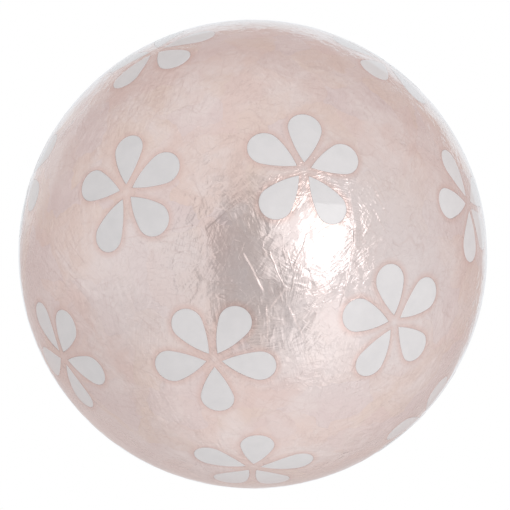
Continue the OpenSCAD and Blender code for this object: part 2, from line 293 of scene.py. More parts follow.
def flake_fields(tree, outward):
    """Fields of the flakes for an outward unit vector: random tones, edges and creases."""
    place = scaled(tree, outward, BALL_R / FLAKE_SIZE)
    drift = centred(tree, noise(tree, place, 1.3, 3.0).outputs["Color"])
    place = vec(tree, "ADD", place, scaled(tree, drift, FLAKE_DRIFT))
    over = vec(tree, "ADD", scaled(tree, place, OVER_FINER), OVER_SHIFT)
    crease = scaled(tree, outward, BALL_R / CREASE_SIZE)
    crease = vec(tree, "ADD", crease, scaled(tree, drift, CREASE_DRIFT))
    return {
        "place": place,
        "under": cells(tree, place, 1.0),
        "over": cells(tree, over, 1.0),
        "over_edge": cells(tree, over, 1.0, "DISTANCE_TO_EDGE").outputs["Distance"],
        "crease_edge": cells(tree, crease, 1.0, "DISTANCE_TO_EDGE").outputs["Distance"],
    }


# Geometry node trees

def geometry_tree(name, inputs):
    """Start a geometry tree with named inputs."""
    tree = bpy.data.node_groups.new(name, "GeometryNodeTree")
    for label, kind in inputs:
        tree.interface.new_socket(label, in_out="INPUT", socket_type="NodeSocket" + kind)
    tree.interface.new_socket("Geometry", in_out="OUTPUT", socket_type="NodeSocketGeometry")
    return tree, tree.nodes.new("NodeGroupInput").outputs


def merged(tree, geometry, distance):
    """Points that lie closer than a distance made into one."""
    return add(tree, "GeometryNodeMergeByDistance", {"Geometry": geometry, "Distance": distance}).outputs[0]


def close_tree(tree, geometry, material):
    """Shade smooth apart from sharp edges, realize, set the material and put the result out."""
    faces = {"Geometry": geometry, "Shade Smooth": True}
    smooth = add(tree, "GeometryNodeSetShadeSmooth", faces, domain="FACE")
    angle = tree.nodes.new("GeometryNodeInputMeshEdgeAngle").outputs["Unsigned Angle"]
    edges = {"Geometry": smooth.outputs[0], "Shade Smooth": calc(tree, "LESS_THAN", angle, SHARP_ANGLE)}
    smooth = add(tree, "GeometryNodeSetShadeSmooth", edges, domain="EDGE")
    real = add(tree, "GeometryNodeRealizeInstances", {"Geometry": smooth.outputs[0]})
    painted = add(tree, "GeometryNodeSetMaterial", {"Geometry": real.outputs[0], "Material": material})
    plug(tree, painted.outputs[0], tree.nodes.new("NodeGroupOutput").inputs[0])
    return tree


def baked(name, tree, values):
    """Run a tree and keep its result as a plain mesh object."""
    maker = bpy.data.objects.new(name, bpy.data.meshes.new(name))
    bpy.context.scene.collection.objects.link(maker)
    modifier = maker.modifiers.new(name, "NODES")
    modifier.node_group = tree
    for item in tree.interface.items_tree:
        if item.in_out == "INPUT":
            modifier[item.identifier] = values[item.name]
    graph = bpy.context.evaluated_depsgraph_get()
    result = maker.evaluated_get(graph)
    made = bpy.data.meshes.new_from_object(result, preserve_all_data_layers=True, depsgraph=graph)
    made.materials.clear()
    made.materials.append(values["Material"])
    made.polygons.foreach_set("material_index", [0] * len(made.polygons))
    maker.modifiers.remove(modifier)
    maker.data = made
    return maker


def even_ball(tree, points):
    """The grid of a cube, swollen into a unit ball of nearly even squares."""
    cube = {"Size": (2, 2, 2), "Vertices X": points, "Vertices Y": points, "Vertices Z": points}
    cube = add(tree, "GeometryNodeMeshCube", cube).outputs["Mesh"]
    position = tree.nodes.new("GeometryNodeInputPosition").outputs[0]
    even = vec(tree, "TANGENT", scaled(tree, position, math.pi / 4))
    ball = {"Geometry": cube, "Position": vec(tree, "NORMALIZE", even)}
    return add(tree, "GeometryNodeSetPosition", ball).outputs[0]


def nearest_flakes(tree, ball, flakes, axis):
    """What is left of a ball when only the flakes that lie nearest to an axis stay."""
    centre = vec(tree, "NORMALIZE", flakes["under"].outputs["Position"])
    side = apart(tree, vec(tree, "ABSOLUTE", centre))
    nearest = calc(tree, "MAXIMUM", calc(tree, "MAXIMUM", side[0], side[1]), side[2])
    nearest = calc(tree, "SUBTRACT", nearest, PATCH_TIE)
    outside = calc(tree, "LESS_THAN", dot(tree, centre, axis), nearest)
    patch = {"Geometry": ball, "Selection": outside}
    return add(tree, "GeometryNodeDeleteGeometry", patch, domain="FACE").outputs[0]


def flake_rise(tree, given, outward, flakes):
    """Rise of the skin from the steps of its flakes, its creases and a slow swell."""
    under = apart(tree, flakes["under"].outputs["Color"])[0]
    over = apart(tree, flakes["over"].outputs["Color"])[0]
    lip = remap(tree, flakes["over_edge"], 0.0, 0.06)
    step = calc(tree, "ADD", under, calc(tree, "MULTIPLY", over, lip))
    ridge = remap(tree, flakes["crease_edge"], 0.0, 0.09, 1.0, 0.0)
    ridge = calc(tree, "MULTIPLY", ridge, given["Crease Rise"])
    swell = noise(tree, scaled(tree, outward, BALL_R / SWELL_SIZE), 1.0, 2.0).outputs[0]
    rise = calc(tree, "MULTIPLY_ADD", step, given["Flake Step"], ridge)
    return calc(tree, "MULTIPLY_ADD", calc(tree, "SUBTRACT", swell, 0.5), given["Swell Rise"], rise)


def walled(tree, outer, inward):
    """A closed wall from an outer face and the way from it to the inner one."""
    wall = {"Mesh": outer, "Offset": inward, "Offset Scale": 1.0, "Individual": False}
    wall = add(tree, "GeometryNodeExtrudeMesh", wall, mode="FACES").outputs["Mesh"]
    wall = add(tree, "GeometryNodeFlipFaces", {"Mesh": wall}).outputs[0]
    joined = tree.nodes.new("GeometryNodeJoinGeometry")
    plug(tree, outer, joined.inputs[0])
    plug(tree, wall, joined.inputs[0])
    return merged(tree, joined.outputs[0], MERGE)


def windowed(tree, shell, windows):
    """A wall with windows cut out and loose chips removed, which keeps its distance from the windows."""
    cut = {"Mesh 1": shell, "Mesh 2": windows}
    cut = add(tree, "GeometryNodeMeshBoolean", cut, operation="DIFFERENCE", solver="MANIFOLD")
    cut = merged(tree, cut.outputs["Mesh"], WELD)
    island = tree.nodes.new("GeometryNodeInputMeshIsland").outputs["Island Index"]
    area = tree.nodes.new("GeometryNodeInputMeshFaceArea").outputs[0]
    spread = {"Value": area, "Group ID": island}
    spread = add(tree, "GeometryNodeAccumulateField", spread, data_type="FLOAT", domain="FACE")
    chips = calc(tree, "LESS_THAN", spread.outputs["Total"], CHIP_AREA)
    clean = {"Geometry": cut, "Selection": chips}
    clean = add(tree, "GeometryNodeDeleteGeometry", clean, domain="FACE").outputs[0]
    away = add(tree, "GeometryNodeProximity", {"Target": windows}, target_element="FACES")
    skin = {"Geometry": clean, "Name": "petal_reach", "Value": away.outputs["Distance"]}
    return add(tree, "GeometryNodeStoreNamedAttribute", skin, data_type="FLOAT", domain="POINT").outputs[0]


def flake_patch_tree():
    """One sixth of the flake skin: the flakes that lie nearest to one axis, with petal windows."""
    tree, given = geometry_tree("flake_patch", [
        ("Ball Radius", "Float"),
        ("Skin Depth", "Float"),
        ("Grid Points", "Int"),
        ("Flake Step", "Float"),
        ("Crease Rise", "Float"),
        ("Swell Rise", "Float"),
        ("Sink", "Float"),
        ("Patch Axis", "Vector"),
        ("Windows", "Object"),
        ("Middle", "Vector"),
        ("Material", "Material"),
    ])
    position = tree.nodes.new("GeometryNodeInputPosition").outputs[0]
    outward = vec(tree, "NORMALIZE", position)
    flakes = flake_fields(tree, outward)
    patch = nearest_flakes(tree, even_ball(tree, given["Grid Points"]), flakes, given["Patch Axis"])

    radius = calc(tree, "SUBTRACT", given["Ball Radius"], given["Sink"])
    radius = calc(tree, "ADD", radius, flake_rise(tree, given, outward, flakes))
    outer = {"Geometry": patch, "Position": scaled(tree, outward, radius)}
    outer = add(tree, "GeometryNodeSetPosition", outer).outputs[0]
    deep = calc(tree, "SUBTRACT", given["Ball Radius"], given["Skin Depth"])
    inward = vec(tree, "SUBTRACT", scaled(tree, outward, deep), position)
    shell = {"Geometry": walled(tree, outer, inward), "Translation": given["Middle"]}
    shell = add(tree, "GeometryNodeTransform", shell).outputs[0]

    windows = add(tree, "GeometryNodeObjectInfo", {"Object": given["Windows"]}).outputs["Geometry"]
    return close_tree(tree, windowed(tree, shell, windows), given["Material"])


def turned_tree():
    """A profile turned about the axis, with a thread where the profile asks for one, or six flats."""
    tree, given = geometry_tree("turned", [
        ("Profile", "Object"),
        ("Segments", "Int"),
        ("Pitch", "Float"),
        ("Thread Half Depth", "Float"),
        ("Flats", "Float"),
        ("Material", "Material"),
    ])
    line = add(tree, "GeometryNodeObjectInfo", {"Object": given["Profile"]}).outputs["Geometry"]
    count = add(tree, "GeometryNodeAttributeDomainSize", {"Geometry": line}, component="MESH")
    count = count.outputs["Point Count"]
    rows = whole(tree, "ADD", given["Segments"], 1)
    grid = add(tree, "GeometryNodeMeshGrid", {"Vertices X": rows, "Vertices Y": count}).outputs["Mesh"]
    index = tree.nodes.new("GeometryNodeInputIndex").outputs[0]
    row = whole(tree, "DIVIDE_FLOOR", index, count)
    column = whole(tree, "MODULO", index, count)
    position = tree.nodes.new("GeometryNodeInputPosition").outputs[0]
    spot = {"Geometry": line, "Value": position, "Index": column}
    spot = add(tree, "GeometryNodeSampleIndex", spot, data_type="FLOAT_VECTOR").outputs[0]
    share = add(tree, "GeometryNodeInputNamedAttribute", {"Name": "thread"}, data_type="FLOAT").outputs[0]
    share = {"Geometry": line, "Value": share, "Index": column}
    share = add(tree, "GeometryNodeSampleIndex", share, data_type="FLOAT").outputs[0]

    angle = calc(tree, "MULTIPLY", row, calc(tree, "DIVIDE", 2 * math.pi, given["Segments"]))
    radius, _, level = apart(tree, spot)
    lead = calc(tree, "MULTIPLY", calc(tree, "DIVIDE", level, given["Pitch"]), 2 * math.pi)
    wave = calc(tree, "COSINE", calc(tree, "SUBTRACT", lead, angle))
    dip = calc(tree, "MULTIPLY", calc(tree, "SUBTRACT", 1.0, wave), given["Thread Half Depth"])
    radius = calc(tree, "SUBTRACT", radius, calc(tree, "MULTIPLY", dip, share))
    sector = calc(tree, "SUBTRACT", calc(tree, "WRAP", angle, math.pi / 3, 0.0), math.pi / 6)
    flat = calc(tree, "DIVIDE", given["Flats"], calc(tree, "COSINE", sector))
    radius = calc(tree, "MINIMUM", radius, flat)
    x = calc(tree, "MULTIPLY", radius, calc(tree, "COSINE", angle))
    y = calc(tree, "MULTIPLY", radius, calc(tree, "SINE", angle))
    shape = {"Geometry": grid, "Position": together(tree, x, y, level)}
    shape = add(tree, "GeometryNodeSetPosition", shape).outputs[0]
    return close_tree(tree, merged(tree, shape, MERGE), given["Material"])


def spring_clip_tree():
    """A hub with the same arm repeated round it, made into one sheet."""
    tree, given = geometry_tree("spring_clip", [
        ("Hub", "Object"),
        ("Arm", "Object"),
        ("Arms", "Int"),
        ("First Arm", "Float"),
        ("Material", "Material"),
    ])
    hub = add(tree, "GeometryNodeObjectInfo", {"Object": given["Hub"]}).outputs["Geometry"]
    arm = add(tree, "GeometryNodeObjectInfo", {"Object": given["Arm"]}).outputs["Geometry"]
    points = add(tree, "GeometryNodePoints", {"Count": given["Arms"]}).outputs[0]
    index = tree.nodes.new("GeometryNodeInputIndex").outputs[0]
    step = calc(tree, "DIVIDE", 2 * math.pi, given["Arms"])
    turn = together(tree, 0.0, 0.0, calc(tree, "MULTIPLY_ADD", index, step, given["First Arm"]))
    arms = {"Points": points, "Instance": arm, "Rotation": turn}
    arms = add(tree, "GeometryNodeInstanceOnPoints", arms).outputs[0]
    arms = add(tree, "GeometryNodeRealizeInstances", {"Geometry": arms}).outputs[0]
    sheet = add(tree, "GeometryNodeMeshBoolean", operation="UNION", solver="MANIFOLD")
    plug(tree, hub, sheet.inputs["Mesh 2"])
    plug(tree, arms, sheet.inputs["Mesh 2"])
    return close_tree(tree, merged(tree, sheet.outputs["Mesh"], WELD), given["Material"])


# Petals and their windows

def petal_outline(end, width, grow, steps=40, flank_steps=12):
    """Outline of a petal along +Y with its point towards the blossom's middle, grown all round."""
    mid = end - width / 2
    rise = (PETAL_FLANK * width - (width / 2) ** 2 - (mid - PETAL_TIP) ** 2) / 2 / (mid - PETAL_TIP)
    aside = math.sqrt((PETAL_FLANK - width / 2) ** 2 - rise ** 2)
    join = -math.atan2(rise, aside)
    flank_r = PETAL_FLANK + grow
    end_r = width / 2 + grow
    point = -math.acos(aside / flank_r)
    flank = [point + k * (join - point) / flank_steps for k in range(flank_steps + 1)]
    right = [Vector((flank_r * math.cos(a) - aside, mid + rise + flank_r * math.sin(a))) for a in flank]
    turn = [join + k * (math.pi - 2 * join) / steps for k in range(1, steps)]
    round_end = [Vector((end_r * math.cos(a), mid + end_r * math.sin(a))) for a in turn]
    left = [Vector((-p.x, p.y)) for p in reversed(right[1:])]
    return right + round_end + left


def petal_frames(number):
    """For each petal of a blossom: its placement on the ball, its length and its width."""
    lat, lon, directions = BLOSSOMS[number]
    lean = (PETAL_TIP + PETAL_END) / 2 / BALL_R
    crown = Matrix.Translation(MIDDLE) @ Matrix.Rotation(math.radians(lon), 4, "Z")
    crown = crown @ Matrix.Rotation(math.radians(90 - lat), 4, "X")
    for j, direction in enumerate(directions):
        place = crown @ Matrix.Rotation(math.radians(-direction), 4, "Z") @ Matrix.Rotation(-lean, 4, "X")
        longer = math.sin(math.radians(97 * number + 151 * j))
        wider = math.sin(math.radians(97 * j + 151 * (number + 2)))
        yield place, PETAL_END + PETAL_UNEVEN * longer, PETAL_W + PETAL_UNEVEN * wider


def on_ball(place, point, radius):
    """A point of the flat outline, carried square to the petal on to a ball of that radius."""
    y = point.y - (PETAL_TIP + PETAL_END) / 2
    return place @ Vector((point.x, y, math.sqrt(radius ** 2 - point.x ** 2 - y ** 2)))


def add_ring(mesh, points):
    """A ring of new vertices."""
    return [mesh.verts.new(p) for p in points]


def bridge(mesh, low, high):
    """Quads between two rings, facing outwards where high lies further out or inside low."""
    count = len(low)
    for k in range(count):
        mesh.faces.new((low[k], low[(k + 1) % count], high[(k + 1) % count], high[k]))


def prism(mesh, low, high):
    """A closed prism between two rings."""
    rings = [add_ring(mesh, low), add_ring(mesh, high)]
    bridge(mesh, *rings)
    mesh.faces.new(reversed(rings[0]))
    mesh.faces.new(rings[1])


def scratch_object(name, mesh):
    """An object from a finished bmesh."""
    data = bpy.data.meshes.new(name)
    mesh.to_mesh(data)
    mesh.free()
    made = bpy.data.objects.new(name, data)
    bpy.context.scene.collection.objects.link(made)
    return made


def window_tools():
    """Closed prisms that cut every petal window and the mouth out of the skin."""
    mesh = bmesh.new()
    levels = (BALL_R - 5 * MM, BALL_R + 3 * MM)
    mouth_levels = (-30 * MM, 10 * MM)
    mouth_steps = 240
    shift = Vector((0, -(PETAL_TIP + PETAL_END) / 2))
    for number in range(len(BLOSSOMS)):
        for place, end, width in petal_frames(number):
            flat = [p + shift for p in petal_outline(end, width, WINDOW_GAP)]
            prism(mesh, *[[place @ Vector((p.x, p.y, z)) for p in flat] for z in levels])
    turns = [2 * math.pi * k / mouth_steps for k in range(mouth_steps)]
    rim = [(MOUTH_R * math.cos(a), MOUTH_R * math.sin(a)) for a in turns]
    prism(mesh, *[[Vector((x, y, z)) for x, y in rim] for z in mouth_levels])
    return scratch_object("window_tools", mesh)


def stand_for(piece, body, slot, *nodes):
    """Let a piece stand for CAD nodes and move with their body."""
    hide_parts(*nodes)
    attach(piece, body)


def blossom(number, material):
    """Five loose petals with rounded rims, flush with the ball."""
    mesh = bmesh.new()
    rim = mesh.verts.layers.float.new("petal_rim")
    rim_rings = 5
    rounding = [(0.0, 1.0), (-0.13, 0.4), (-0.4, 0.1), (-1.0, 0.0)]
    shares = [0.95, 0.86, 0.7, 0.52, 0.34, 0.16]
    back_r = BALL_R - SKIN_DEPTH
    for place, end, width in petal_frames(number):
        middle = Vector((0, end - width / 2))
        edge = [(petal_outline(end, width, g * PETAL_ROUND), d * PETAL_ROUND) for g, d in rounding]
        inside = [[middle.lerp(p, s) for p in edge[-1][0]] for s in shares]
        tops = [add_ring(mesh, [on_ball(place, p, BALL_R - drop) for p in ring]) for ring, drop in edge]
        tops += [add_ring(mesh, [on_ball(place, p, BALL_R) for p in ring]) for ring in inside]
        under = [edge[0][0]] + inside
        backs = [add_ring(mesh, [on_ball(place, p, back_r) for p in ring]) for ring in under]
        for k, ring in enumerate(tops):
            for vertex in ring:
                vertex[rim] = max(0.0, 1.0 - k / rim_rings)
        for low, high in zip(tops, tops[1:]):
            bridge(mesh, low, high)
        for low, high in zip(backs, backs[1:]):
            bridge(mesh, high, low)
        bridge(mesh, backs[0], tops[0])
        for ring, radius, turn in ((tops[-1], BALL_R, 1), (backs[-1], back_r, -1)):
            hub = mesh.verts.new(on_ball(place, middle, radius))
            for a, b in zip(ring, ring[1:] + ring[:1]):
                mesh.faces.new((a, b, hub)[::turn])
    piece = scratch_object("petals_%02d" % (number + 1), mesh)
    piece.data.shade_smooth()
    piece.data.set_sharp_from_angle(angle=PETAL_SHARP_ANGLE)
    piece.data.materials.append(material)
    stand_for(piece, "globe", "petal_shell", "flower_%02d" % (number + 1))


# Turned fittings; profiles are in millimetres, with the solid on the left of their direction

def reach(node):
    """Lowest and highest level of a CAD node, and its radius."""
    low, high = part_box(node)
    return low.z / MM, high.z / MM, high.x / MM


def dome(ball, r):
    """Level of a ball round the lantern's middle at a radius from the axis."""
    return MIDDLE.z / MM + math.sqrt(ball ** 2 - r ** 2)


def filleted(corners, steps=6):
    """Points of a profile from its corners, each given as radius, level and rounding."""
    spots = [Vector((r, z)) for r, z, _ in corners]
    line = []
    for k, (r, z, rounding) in enumerate(corners):
        if not rounding:
            line.append((r, z, 0.0))
            continue
        back = (spots[k - 1] - spots[k]).normalized()
        on = (spots[(k + 1) % len(spots)] - spots[k]).normalized()
        half = back.angle(on) / 2
        hub = spots[k] + (back + on).normalized() * (rounding / math.sin(half))
        first = spots[k] + back * (rounding / math.tan(half)) - hub
        last = spots[k] + on * (rounding / math.tan(half)) - hub
        for s in range(steps + 1):
            p = hub + first.slerp(last, s / steps).normalized() * rounding
            line.append((p.x, p.y, 0.0))
    return line


def threaded(crest, ends, low, high, pitch, fade):
    """Points up a threaded wall, which runs out into another radius at its ends."""
    count = math.ceil((high - low) / pitch * 12)
    line = []
    for k in range(count + 1):
        z = low + (high - low) * k / count
        share = min(1.0, (z - low) / fade, (high - z) / fade)
        line.append((ends + (crest - ends) * share, z, share))
    return line


TURNED = turned_tree()


def turned(name, material, line, closed=True, segments=96, pitch=1.0, half_depth=0.0, flats=NO_FLATS):
    """Turn a profile about the axis."""
    if closed:
        line = line + line[:1]
    data = bpy.data.meshes.new("profile")
    steps = [(k, k + 1) for k in range(len(line) - 1)]
    data.from_pydata([(r * MM, 0, z * MM) for r, z, _ in line], steps, [])
    shares = data.attributes.new("thread", "FLOAT", "POINT").data
    shares.foreach_set("value", [share for _, _, share in line])
    profile = bpy.data.objects.new("profile", data)
    bpy.context.scene.collection.objects.link(profile)
    piece = baked(name, TURNED, {
        "Profile": profile,
        "Segments": segments,
        "Pitch": pitch * MM,
        "Thread Half Depth": half_depth * MM,
        "Flats": flats * MM,
        "Material": material,
    })
    bpy.data.objects.remove(profile)
    return piece


def crown_cap_line():
    """Spun cap, flush with the ball, with a sunk well."""
    _, _, rim = reach("crown_cap")
    ball = BALL_R / MM
    under = ball - CAP_SHEET
    shaft = WELL_R + CAP_SHEET
    bottom = WELL_FLOOR - CAP_SHEET
    corners = [(rim, dome(ball, rim), 0.25)] + [(r, dome(ball, r), 0) for r in CAP_RINGS]
    corners += [(WELL_R, dome(ball, WELL_R), 2.0), (WELL_R, WELL_FLOOR, 1.2)]
    corners += [(STUD_HOLE_R, WELL_FLOOR, 0.1), (STUD_HOLE_R, bottom, 0.1)]
    corners += [(shaft, bottom, 1.8), (shaft, dome(under, shaft), 1.4)]
    corners += [(r, dome(under, r), 0) for r in reversed(CAP_RINGS)] + [(rim, dome(under, rim), 0.25)]
    return filleted(corners)


def neck_ring_line():
    """Sleeve in the mouth with a flange that follows the ball."""
    low, _, rim = reach("neck_ring")
    under = NECK_BALL_R - NECK_SHEET
    outside = NECK_R + NECK_SHEET
    corners = [(rim, dome(NECK_BALL_R, rim), 0.2), (NECK_BEND_R, dome(NECK_BALL_R, NECK_BEND_R), 0)]
    corners += [(NECK_R, dome(NECK_BALL_R, NECK_R), 1.0), (NECK_R, low, 0.2), (outside, low, 0.2)]
    corners += [(outside, dome(under, outside), 0.5), (NECK_BEND_R, dome(under, NECK_BEND_R), 0)]
    corners += [(rim, dome(under, rim), 0.2)]
    return filleted(corners)


def stud_line():
    """Hollow lamp stud, threaded above and below a plain groove."""
    low, high, r = reach("hang_stud")
    root = r - 2 * STUD_HALF_DEPTH
    wall = threaded(r, root, low, STUD_GROOVE[0], STUD_PITCH, STUD_RUNOUT)
    wall += threaded(r, root, STUD_GROOVE[1], high, STUD_PITCH, STUD_RUNOUT)
    return wall + filleted([(STUD_BORE_R, high, 0), (STUD_BORE_R, low, 0)])


def nut_line(node):
    """Round blank of a hexagon nut with turned chamfers."""
    low, high, _ = reach(node)
    face, blank, drop = 6.8, 8.1, 0.6
    mouth, sink = 5.5, 0.4
    corners = [(face, low, 0.1), (blank, low + drop, 0), (blank, high - drop, 0), (face, high, 0.1)]
    corners += [(mouth, high, 0), (STUD_HOLE_R, high - sink, 0)]
    corners += [(STUD_HOLE_R, low + sink, 0), (mouth, low, 0)]
    return filleted(corners)


def washer_line():
    """Flat washer with softened edges."""
    low, high, r = reach("top_washer")
    hole = 5.25
    return filleted([(r, low, 0.2), (r, high, 0.3), (hole, high, 0.2), (hole, low, 0.15)])


def bush_line():
    """Moulded inlet bush with a collar and a rounded mouth."""
    low, high, r = reach("cord_bush")
    shank, bore = 3.9, 2.75
    corners = [(shank, low, 0.4), (shank, 0, 0.15), (r, 0, 0.15), (r, high, 0.6)]
    corners += [(bore, high, 0.7), (bore, low, 0.4)]
    return filleted(corners)


def holder_cap_line():
    """Porcelain dome with a boss for the stud."""
    low, high, r = reach("holder_cap")
    inner = r - PORCELAIN_WALL
    roof = high - PORCELAIN_WALL
    boss = high - BOSS_DEPTH
    corners = [(r, low, 0.6), (r, high, 7.0), (STUD_HOLE_R, high, 0.4), (STUD_HOLE_R, boss, 0.3)]
    corners += [(BOSS_R, boss, 0.6), (BOSS_R, roof, 0.8), (inner, roof, 5.0), (inner, low, 0.3)]
    return filleted(corners, 10)


def holder_body_line():
    """Porcelain sleeve round the screw shell, with a rounded lip."""
    low, high, r = reach("holder_body")
    inner = r - PORCELAIN_WALL
    ledge = high - 6
    corners = [(r, low, 1.3), (r, high, 0.6), (inner, high, 0.3), (inner, ledge, 0.2)]
    corners += [(HOLDER_BORE_R, ledge, 0.2), (HOLDER_BORE_R, low, 1.0)]
    return filleted(corners, 8)


def screw_shell_line():
    """Brass sheet, rolled to the lamp thread, with an eye at its top."""
    low, high, r = reach("screw_shell")
    inner = r - SHELL_SHEET
    under = high - SHELL_SHEET
    ends = (low + 0.6, high - 2.2, LAMP_PITCH, LAMP_RUNOUT)
    outside = threaded(r, r, *ends)
    inside = threaded(inner, inner, *ends)
    eye = [(SHELL_EYE_R, high, 0.1), (SHELL_EYE_R, under, 0.1)]
    top = filleted([(r, low, 0), (r, high, 0.9)] + eye + [(inner, under, 0.4)])
    return top[:1] + outside + top[1:] + inside[::-1] + [(inner, low, 0.0)]


def contact_line():
    """Brass centre contact with a rounded nose."""
    low, high, r = reach("centre_contact")
    head = high - 0.5
    corners = [(0, low, 0), (r / 2, low, 0.8), (r / 2, head, 0.2)]
    corners += [(r, head, 0.15), (r, high, 0.15), (0, high, 0)]
    return filleted(corners)


def bulb_cap_line():
    """Screw cap of the bulb: thin sheet, rolled to the lamp thread, with a plain skirt."""
    low, high, r = reach("bulb_cap")
    root = r - 2 * LAMP_HALF_DEPTH
    inner = r - BULB_SHEET
    skirt = low + 4
    roof = high - 0.9
    ceiling = high - 0.6
    outside = threaded(r, root, low + 1.4, roof, LAMP_PITCH, LAMP_RUNOUT)
    outside = [(r if z < skirt else radius, z, share) for radius, z, share in outside]
    inside = [(radius - BULB_SHEET, z, share) for radius, z, share in outside if z < high - 1.2]
    under = [(0, ceiling, 0.0), (root - 1.2, ceiling, 0.0)]
    rim = filleted([(inner, low + 1, 0), (inner, low, 0.1), (r, low, 0.1), (r, low + 1, 0)])
    top = filleted([(root, roof, 0), (root - 0.4, high, 0.5), (0, high, 0)])
    return under + inside[::-1] + rim + outside + top[1:]


def glass_line():
    """Blown bulb: round below, drawn in to the neck inside the screw cap."""
    low, high, r = reach("bulb_glass")
    middle = low + r
    shoulder = high - 16.1
    waist = GLASS_NECK_R - 0.9
    away = math.hypot(GLASS_NECK_R, shoulder - middle)
    tangent = math.atan2(shoulder - middle, GLASS_NECK_R) - math.acos(r / away)
    turns = [-math.pi / 2 + k * (tangent + math.pi / 2) / 40 for k in range(41)]
    outside = [(r * math.cos(a), middle + r * math.sin(a), 0.0) for a in turns]
    neck = [(GLASS_NECK_R, shoulder, 16), (waist, shoulder + 4.4, 4), (waist, high, 0)]
    outside += filleted([outside[-1]] + neck)[1:]
    inside = []
    for radius, z, _ in outside:
        inside.append((max(0.0, radius - GLASS_WALL), z + (GLASS_WALL if z < middle else 0), 0.0))
    return [(0.0, low, 0.0)] + outside[1:] + inside[:0:-1] + [(0.0, low + GLASS_WALL, 0.0)]


def stem_line():
    """Post inside the bulb on its foot."""
    low, high, _ = reach("bulb_stem")
    post, foot = 4, 10.8
    top = high - 1.6
    corners = [(0, low, 0), (post, low, 2.0), (post, top, 1.0)]
    corners += [(foot, top, 0.3), (foot, high, 0.3), (0, high, 0)]
    return filleted(corners)


def insulator_line():
    """Black glass cone between the tip and the screw cap."""
    low, high, r = reach("bulb_insulator")
    top = 5.8
    return filleted([(0, low, 0), (r, low, 0.5), (top, high, 0.6), (0, high, 0)])


def tip_line():
    """Domed solder contact."""
    low, high, r = reach("bulb_tip")
    return filleted([(0, low, 0), (r, low, 0.3), (r - 0.5, high, 1.0), (0, high, 0)])


def clip_arm():
    """One arm of the spring clip along +X: a strip bent down into a leaf with a lead-in."""
    low, high, _ = reach("spring_clips")
    inner = CLIP_LEAF_R - CLIP_SHEET
    under = high - CLIP_SHEET
    toe = CLIP_LEAF_R - 1.2
    corners = [(CLIP_ARM_START, under, 0), (inner, under, 1.2), (inner, low + 2, 1.5), (toe, low, 0.15)]
    corners += [(toe + CLIP_SHEET, low, 0.15), (CLIP_LEAF_R, low + 2.1, 1.5), (CLIP_LEAF_R, high, 1.7)]
    corners += [(CLIP_ARM_START, high, 0)]
    section = filleted(corners)
    mesh = bmesh.new()
    rings = []
    for k in range(-CLIP_ARM_HALF_W, CLIP_ARM_HALF_W + 1):
        strip = [Vector((math.sqrt(r ** 2 - k ** 2), k, z)) * MM for r, z, _ in section]
        rings.append(add_ring(mesh, strip))
    for a, b in zip(rings, rings[1:]):
        bridge(mesh, a, b)
    mesh.faces.new(rings[0])
    mesh.faces.new(reversed(rings[-1]))
    bmesh.ops.recalc_face_normals(mesh, faces=mesh.faces)
    return scratch_object("clip_arm", mesh)


def clip_hub_line():
    """Flat ring that the arms of the spring clip start from."""
    _, high, _ = reach("spring_clips")
    under = high - CLIP_SHEET
    corners = [(CLIP_HUB_R, under), (CLIP_HUB_R, high), (STUD_HOLE_R, high), (STUD_HOLE_R, under)]
    return filleted([(r, z, CLIP_EDGE) for r, z in corners])


def spring_clip(material):
    """Hub and three arms, cut from one spring sheet."""
    hub = turned("clip_hub", material, clip_hub_line())
    arm = clip_arm()
    values = {"Hub": hub, "Arm": arm, "Arms": 3, "First Arm": math.radians(90), "Material": material}
    piece = baked("spring_clip", spring_clip_tree(), values)
    bpy.data.objects.remove(hub)
    bpy.data.objects.remove(arm)
    stand_for(piece, "crown", "spring_steel", "spring_clips")


# Shared shader groups

def shader_group(name, inputs, outputs):
    """Start a shader group with named inputs and outputs."""
    group = bpy.data.node_groups.new(name, "ShaderNodeTree")
    for label, kind in inputs:
        group.interface.new_socket(label, in_out="INPUT", socket_type="NodeSocket" + kind)
    for label, kind in outputs:
        group.interface.new_socket(label, in_out="OUTPUT", socket_type="NodeSocket" + kind)
    return group, group.nodes.new("NodeGroupInput").outputs, group.nodes.new("NodeGroupOutput").inputs


def clouding_group():
    """Two tones that drift into each other over the surface."""
    group, given, out = shader_group(
        "clouding",
        [("Per Metre", "Float"), ("First", "Color"), ("Second", "Color")],
        [("Color", "Color"), ("Mask", "Float")],
    )
    here = add(group, "ShaderNodeTexCoord").outputs["Object"]
    mask = remap(group, noise(group, here, given["Per Metre"], 4.0, 0.6).outputs[0], 0.3, 0.7)
    plug(group, mixed(group, mask, given["First"], given["Second"]), out["Color"])
    plug(group, mask, out["Mask"])
    return group


def turning_group():
    """Fine lines round the axis, as left by a lathe or a spinning tool."""
    group, given, out = shader_group("turning", [("Per Metre", "Float")], [("Lines", "Float")])
    here = add(group, "ShaderNodeTexCoord").outputs["Object"]
    x, y, z = apart(group, here)
    flat = together(group, x, y, 0.0)
    away = add(group, "ShaderNodeVectorMath", {0: flat}, operation="LENGTH").outputs["Value"]
    around = vec(group, "NORMALIZE", flat)
    lines = scaled(group, together(group, away, z, 0.0), given["Per Metre"])
    lines = vec(group, "ADD", lines, scaled(group, around, 0.8))
    plug(group, noise(group, lines, 1.0, 3.0, 0.6).outputs[0], out["Lines"])
    return group


